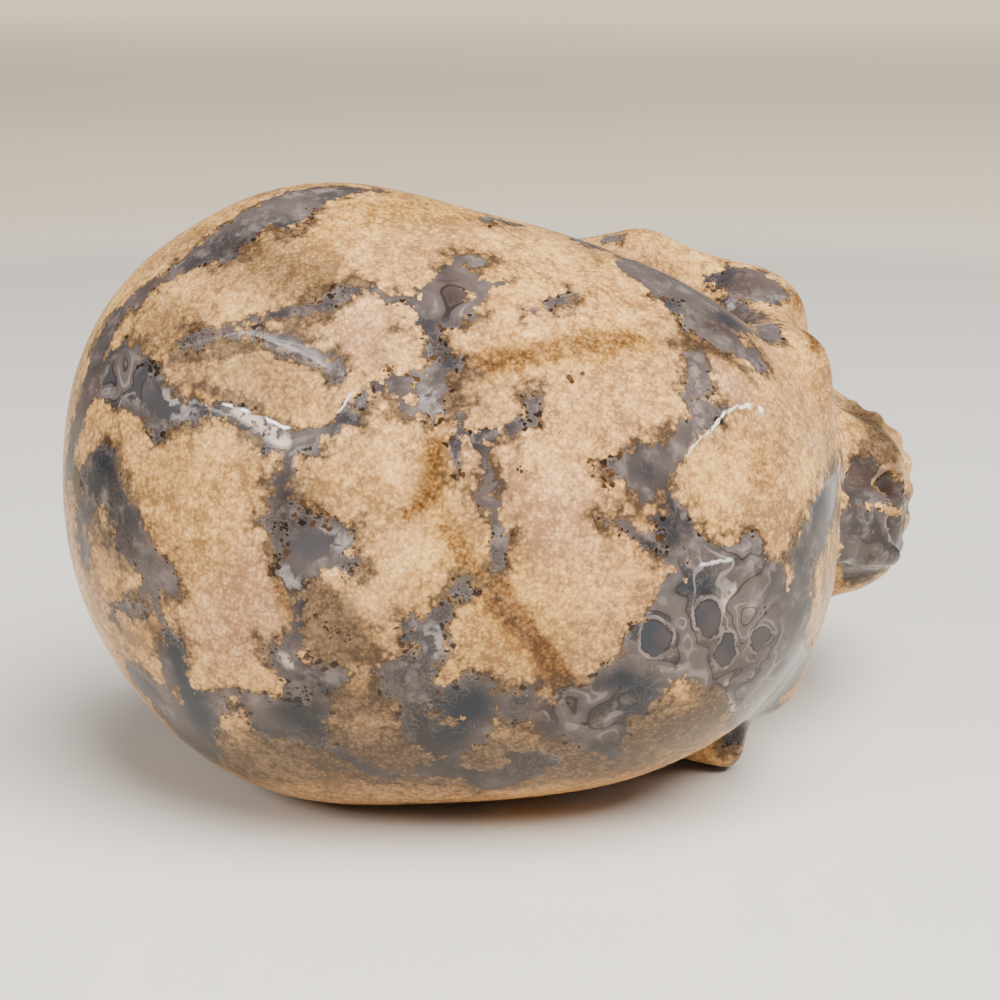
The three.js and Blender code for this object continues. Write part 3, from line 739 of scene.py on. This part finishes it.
class Value:
    """A socket of the material's nodes. Sums and products of such values add their Math nodes."""

    tree = None

    def __init__(self, socket):
        self.socket = socket

    @classmethod
    def node(cls, kind, inputs, output=0, stops=(), **settings):
        """Adds a node, sets it, and fills its sockets with values, numbers or colours."""
        made = cls.tree.nodes.new("ShaderNode" + kind)
        for name, setting in settings.items():
            setattr(made, name, setting)
        for place, colour in stops:
            stop = made.color_ramp.elements.new(place)
            stop.color = (*colour, 1)
        for first_or_last in (0, -1) if stops else ():
            made.color_ramp.elements.remove(made.color_ramp.elements[first_or_last])
        for name, value in inputs.items():
            if isinstance(value, Value):
                cls.tree.links.new(value.socket, made.inputs[name])
            else:
                made.inputs[name].default_value = value
        return cls(made.outputs[output]) if made.outputs else None

    def maths(self, operation, *others):
        """Adds a Math node that works on this value and the others."""
        return self.node("Math", dict(enumerate([self, *others])), operation=operation)

    def __add__(self, other):
        return self.maths("ADD", other)

    def __sub__(self, other):
        return self.maths("SUBTRACT", other)

    def __rsub__(self, other):
        return (self * -1).maths("ADD", other)

    def __mul__(self, other):
        return self.maths("MULTIPLY", other)

    def __abs__(self):
        return self.maths("ABSOLUTE")

    __radd__ = __add__
    __rmul__ = __mul__

    def ramp(self, low, high, to_low=0.0, to_high=1.0):
        """Goes smoothly from one number to another as this value goes from `low` to `high`."""
        ends = {"Value": self, "From Min": low, "From Max": high, "To Min": to_low, "To Max": to_high}
        return self.node("MapRange", ends, interpolation_type="SMOOTHSTEP")

    def tint(self, under, over):
        """A colour or value `under`, going over to `over` as this value goes from 0 to 1."""
        colours = [c if isinstance(c, Value) else (*c, 1) for c in (under, over)]
        return self.node("Mix", {0: self, 6: colours[0], 7: colours[1]}, output=2, data_type="RGBA")


stone = bpy.data.materials.new("flower_agate")
stone.use_nodes = True
stone.node_tree.nodes.clear()
Value.tree = stone.node_tree
place = Value.node("TexCoord", {}, output="Object")
place = Value.node("VectorMath", {0: place, "Scale": 1000.0}, operation="SCALE")


def stored(name):
    """The value that was stored for the skin under a name."""
    return Value.node("Attribute", {}, output="Fac", attribute_name=name)


def noise(scale, detail=3.0, roughness=0.55, at=place, output=0):
    """A soft noise with about `scale` blots to a millimetre."""
    settings = {"Vector": at, "Scale": scale, "Detail": detail, "Roughness": roughness}
    return Value.node("TexNoise", settings, output=output)


def cells(scale, at=place, output="Distance"):
    """Round cells, `scale` to a millimetre: the distance to the middle of the nearest, or its colour."""
    return Value.node("TexVoronoi", {"Vector": at, "Scale": scale}, output=output)


def shifted(amount, scale):
    """The place, shifted about by up to half an amount in millimetres, with a soft noise."""
    drift = noise(scale, 1, output=1)
    drift = Value.node("VectorMath", {0: drift, 1: (MEAN_OF_NOISE,) * 3}, operation="SUBTRACT")
    drift = Value.node("VectorMath", {0: drift, "Scale": amount}, operation="SCALE")
    return Value.node("VectorMath", {0: place, 1: drift}, operation="ADD")


def random_of(cell_colour, output=0):
    """One random number for each cell, out of its random colour."""
    return Value.node("SeparateColor", {0: cell_colour}, output=output)


def blend(value, *stops):
    """A colour that runs through the given ones as the value passes their places."""
    return Value.node("ValToRGB", {0: value}, stops=stops)


wavy = shifted(1.2, 0.5)
ragged = shifted(0.5, 1.8)
sides = stored("sides")
coarse = stored("coarse")
lumps = cells(0.85, at=wavy) - MEAN_OF_CELLS
grains = cells(2.5, at=ragged) - MEAN_OF_CELLS
smudges = noise(0.3, 3, 0.6)
mottles = noise(0.8, 3, 0.6)
drifts = noise(0.12, 3, 0.6)
patches = noise(0.2, 2)
crumbs = noise(1.1, 3, 0.6)
border = stored("chalcedony") + lumps * 1.2 + grains * 0.6 + (smudges - MEAN_OF_NOISE) * 1.5
border = border + sides * (noise(0.1, 3, 0.6) - MEAN_OF_NOISE) * 11
crispness = noise(0.13, 1).ramp(0.38, 0.6, 0.16, 1.0)
is_chalcedony = (border * crispness).ramp(-0.06, 0.08)

sugar = noise(3.4, 3, 0.75)
grain = random_of(cells(2.5, at=ragged, output="Color"))
tone = (sugar - MEAN_OF_NOISE) * 1.25 + (grain - 0.5) * 0.25 - grains * 0.5 - lumps * 0.35
tone = tone + (mottles - MEAN_OF_NOISE) * 0.5 + (drifts - MEAN_OF_NOISE) * 1.4 + 0.5
plume = blend(tone, *CREAM_GRAINS)
gold = (noise(0.06, 1).ramp(0.44, 0.62) * 0.5 + stored("gold")).ramp(0.0, 1.0)
plume = (gold * 0.9).tint(plume, blend(tone, *GOLDEN_GRAINS))
rose = (stored("rose") + sides * noise(0.07, 1).ramp(0.45, 0.7)).ramp(0.0, 1.0)
plume = (rose * 0.6).tint(plume, blend(tone, *ROSY_GRAINS))
ochre = stored("ochre") + sides * noise(0.09, 3, 0.6).ramp(0.56, 0.7)
rust = (ochre * mottles.ramp(0.25, 0.6, 0.5, 1.2)).ramp(0.0, 0.9)
plume = rust.tint(plume, blend(tone, *RUSTY_GRAINS))
# Brown veils near the borders, plus the umber clouds, which are partly painted shade.
umber_veil_and_painted_shade = border.ramp(-2.2, 0.1) * smudges.ramp(0.42, 0.58) + border.ramp(-0.6, 0.05) * 0.4
umber_veil_and_painted_shade = umber_veil_and_painted_shade + stored("shade") * mottles.ramp(0.2, 0.7, 0.7, 1.2)
plume = umber_veil_and_painted_shade.ramp(0.0, 1.0, 0.0, 0.9).tint(plume, blend(tone, *UMBER_AND_SHADE_GRAINS))

layers = ((border + mottles * 0.35) * (2 * math.pi / LAYER_WIDTH)).maths("SINE")
layers = layers.ramp(0.35, 0.95) * patches.ramp(0.42, 0.6)
pool = noise(0.16, 2).ramp(0.35, 0.65).tint(GREY_POOL, LAVENDER_POOL)
pool = noise(0.45, 3, 0.65).ramp(0.48, 0.72).tint(pool, PALE_POOL)
slate = stored("slate") + sides * noise(0.06, 1).ramp(0.55, 0.7)
pool = slate.ramp(0.0, 1.0).tint(pool, SLATE_POOL)
pool = stored("brown").ramp(0.0, 1.0, 0.0, 0.85).tint(pool, BROWN_POOL)
# Umber clouds on the chalcedony, partly painted shade towards the bottom and the lower right rim.
pool = (stored("shade") * 0.6).ramp(0.0, 1.0).tint(pool, UMBER_AND_SHADE_POOL)
pool = (layers * 0.2).tint(pool, LAYER)
pool = (stored("milky_rim") * border.ramp(0.9, 1.3)).tint(pool, RIMMED_POOL)
rimmed = (stored("milky_rim") + sides * 0.3).ramp(0.1, 0.8)
milky = border.ramp(0.12, 0.3) * border.ramp(1.15, 0.75) * rimmed
pool = (milky * mottles.ramp(0.3, 0.6)).tint(pool, MILKY_RIM)
pale_line = abs(border - 0.22).ramp(0.10, 0.03) * patches.ramp(0.45, 0.65)
pool = (pale_line * 0.3).tint(pool, PALE_LINE)
dark_line = abs(border - 0.05).ramp(0.14, 0.02) * patches.ramp(0.6, 0.4)
pool = (dark_line * 0.6).tint(pool, DARK_LINE)
# Milky clouds, with two painted glints among them.
milk_and_glints = stored("milk_and_glints") * crumbs.ramp(0.3, 0.55)
pool = milk_and_glints.ramp(0.2, 1.0).tint(pool, MILK_AND_GLINTS)
flow = noise(0.27, 1.0, at=shifted(2.2, 0.25)) * 3.2 - stored("window").ramp(-1.6, 0.6, 0.0, 0.9)
swirl = (stored("swirls") + sides * 0.6).ramp(0.1, 0.7)
pool = (flow.ramp(1.3, 1.8) * swirl * 0.7).tint(pool, BROAD_BAND)
rings = (flow * (2 * math.pi * BANDS_PER_FLOW)).maths("SINE")
pool = (rings.ramp(0.78, 0.98) * swirl * smudges.ramp(0.38, 0.55) * 0.7).tint(pool, PALE_BAND)
pool = (rings.ramp(-0.86, -0.99) * swirl * 0.75).tint(pool, DARK_BAND)
edge = stored("window") + (mottles - MEAN_OF_NOISE) * 0.9 + (smudges - MEAN_OF_NOISE) * 1.3
pane = drifts.ramp(0.4, 0.6).tint(BLUE_WINDOW, BROWN_WINDOW)
pool = edge.ramp(-0.06, 0.06).tint(pool, pane)
pool = (abs(edge + 0.03).ramp(0.10, 0.03) * 0.8).tint(pool, WINDOW_OUTLINE)
pool = (abs(edge + 0.28).ramp(0.18, 0.08) * smudges.ramp(0.35, 0.6) * 0.7).tint(pool, PALE_BAND)

body = is_chalcedony.tint(plume, pool)
# Painted highlight along parts of the hollows' rims.
rim = abs(stored("hollow") + (crumbs - MEAN_OF_NOISE) * 0.7).ramp(0.26, 0.10) * stored("painted_rim_glint")
body = (rim * mottles.ramp(0.35, 0.6)).ramp(0.1, 0.7).tint(body, PAINTED_GLINT_WHITE)
at_border = abs(border + 0.1).ramp(0.9, 0.15) * patches.ramp(0.42, 0.56)
chance = at_border * 0.52 + stored("soot") * 0.95 + smudges.ramp(0.5, 0.75) * 0.12


def specks(scale):
    """Dark grains: the likelier one is at a place, the larger it is."""
    luck = random_of(cells(scale, at=ragged, output="Color"), output=1)
    grown = (chance + luck * 0.6 - 0.6).ramp(0.0, 0.5, 0.0, LARGEST_SPECK)
    return (grown - cells(scale, at=ragged)).ramp(-0.04, 0.04)


rusted = random_of(cells(0.85, at=wavy, output="Color")).ramp(0.5, 0.8)
iron = rusted.tint(DARK_IRON, RUSTY_IRON)
body = ((specks(1.3) + specks(2.5)).ramp(0.0, 1.0) * 0.9).tint(body, iron)
cracks = abs(mottles - MEAN_OF_NOISE).ramp(0.012, 0.004) * abs(border + 0.3).ramp(1.6, 0.3)
body = (cracks * patches.ramp(0.5, 0.65) * 0.7).tint(body, CRACK)

relief = sugar * stored("chalcedony").ramp(-0.3, 0.3, 1.0, 0.05)
roughness = is_chalcedony.ramp(0.0, 1.0, PLUME_ROUGHNESS, CHALCEDONY_ROUGHNESS)
roughness = roughness + coarse * HOLLOW_ROUGHNESS
shader = Value.node("BsdfPrincipled", {
    "Base Color": body,
    "Roughness": roughness,
    "IOR": AGATE_IOR,
    "Specular IOR Level": 0.2,
    "Normal": Value.node("Bump", {"Strength": 0.4, "Distance": RELIEF_DEPTH, "Height": relief}),
})
Value.node("OutputMaterial", {"Surface": shader})

skull.data.materials.clear()
skull.data.materials.append(stone)
bpy.ops.object.select_all(action="DESELECT")
skull.select_set(True)
bpy.context.view_layer.objects.active = skull
bpy.ops.object.shade_smooth()
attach(skull, "root")
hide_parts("skull")

# The table
# A pale glossy sheet that the stone lies on. Farther out it goes over to a duller floor, which brightens
# far behind like a plain wall. It isn't part of the object.
TABLE_SIZE, SHEET_EDGE, FIRST_GLOW, WALL = 6, (0.27, 0.42), (0.2, 0.5), (0.6, 1.7)  # metres
TABLE_PALE = (0.80, 0.745, 0.66)
FLOOR_BEIGE = (0.66, 0.56, 0.42)
WALL_GLOW = (0.9, 0.74, 0.50)
TABLE_ROUGHNESS, FLOOR_ROUGHNESS, TABLE_IOR = 0.14, 0.7, 1.4

bpy.ops.mesh.primitive_plane_add(size=TABLE_SIZE)
table = bpy.context.object
table.name = "table"
sheet = bpy.data.materials.new("table_sheet")
sheet.use_nodes = True
Value.tree = sheet.node_tree
sheet.node_tree.nodes.clear()
spot = Value.node("TexCoord", {}, output="Object")
away = Value.node("VectorMath", {0: spot}, output="Value", operation="LENGTH")
beyond = away.ramp(*SHEET_EDGE)
behind = Value.node("SeparateXYZ", {0: spot}, output=1)
glow = behind.ramp(*FIRST_GLOW) * 0.2 + behind.ramp(*WALL) * 1.1
finish = Value.node("BsdfPrincipled", {
    "Base Color": beyond.tint(TABLE_PALE, FLOOR_BEIGE),
    "Roughness": beyond.ramp(0.0, 1.0, TABLE_ROUGHNESS, FLOOR_ROUGHNESS),
    "IOR": TABLE_IOR,
    "Emission Color": glow.tint((0, 0, 0), WALL_GLOW),
    "Emission Strength": 1.0,
})
Value.node("OutputMaterial", {"Surface": finish})
table.data.materials.append(sheet)

# The light
# A pale room with a soft window to the front left, a small doorway to the right, and a large soft light
# overhead that the polish doesn't mirror.
ROOM, ROOM_STRENGTH = (0.82, 0.80, 0.78, 1), 0.19

world = bpy.data.worlds.new("room")
bpy.context.scene.world = world
world.use_nodes = True
world.node_tree.nodes["Background"].inputs["Color"].default_value = ROOM
world.node_tree.nodes["Background"].inputs["Strength"].default_value = ROOM_STRENGTH


def soft_light(name, direction, distance, size, power, mirrored):
    """A square light of a size in metres and a power in watts that faces the stone."""
    location = distance * Vector(direction).normalized()
    bpy.ops.object.light_add(type="AREA", location=location)
    light = bpy.context.object
    light.name = name
    light.data.size = size
    light.data.energy = power
    light.rotation_euler = location.to_track_quat("Z", "Y").to_euler()
    light.visible_glossy = mirrored


soft_light("window", (-0.56, -0.62, 0.55), distance=0.9, size=0.26, power=4, mirrored=True)
soft_light("doorway", (0.89, 0.05, 0.42), distance=0.9, size=0.14, power=0.4, mirrored=True)
soft_light("overhead", (0.34, -0.38, 0.88), distance=1.0, size=0.75, power=31, mirrored=False)
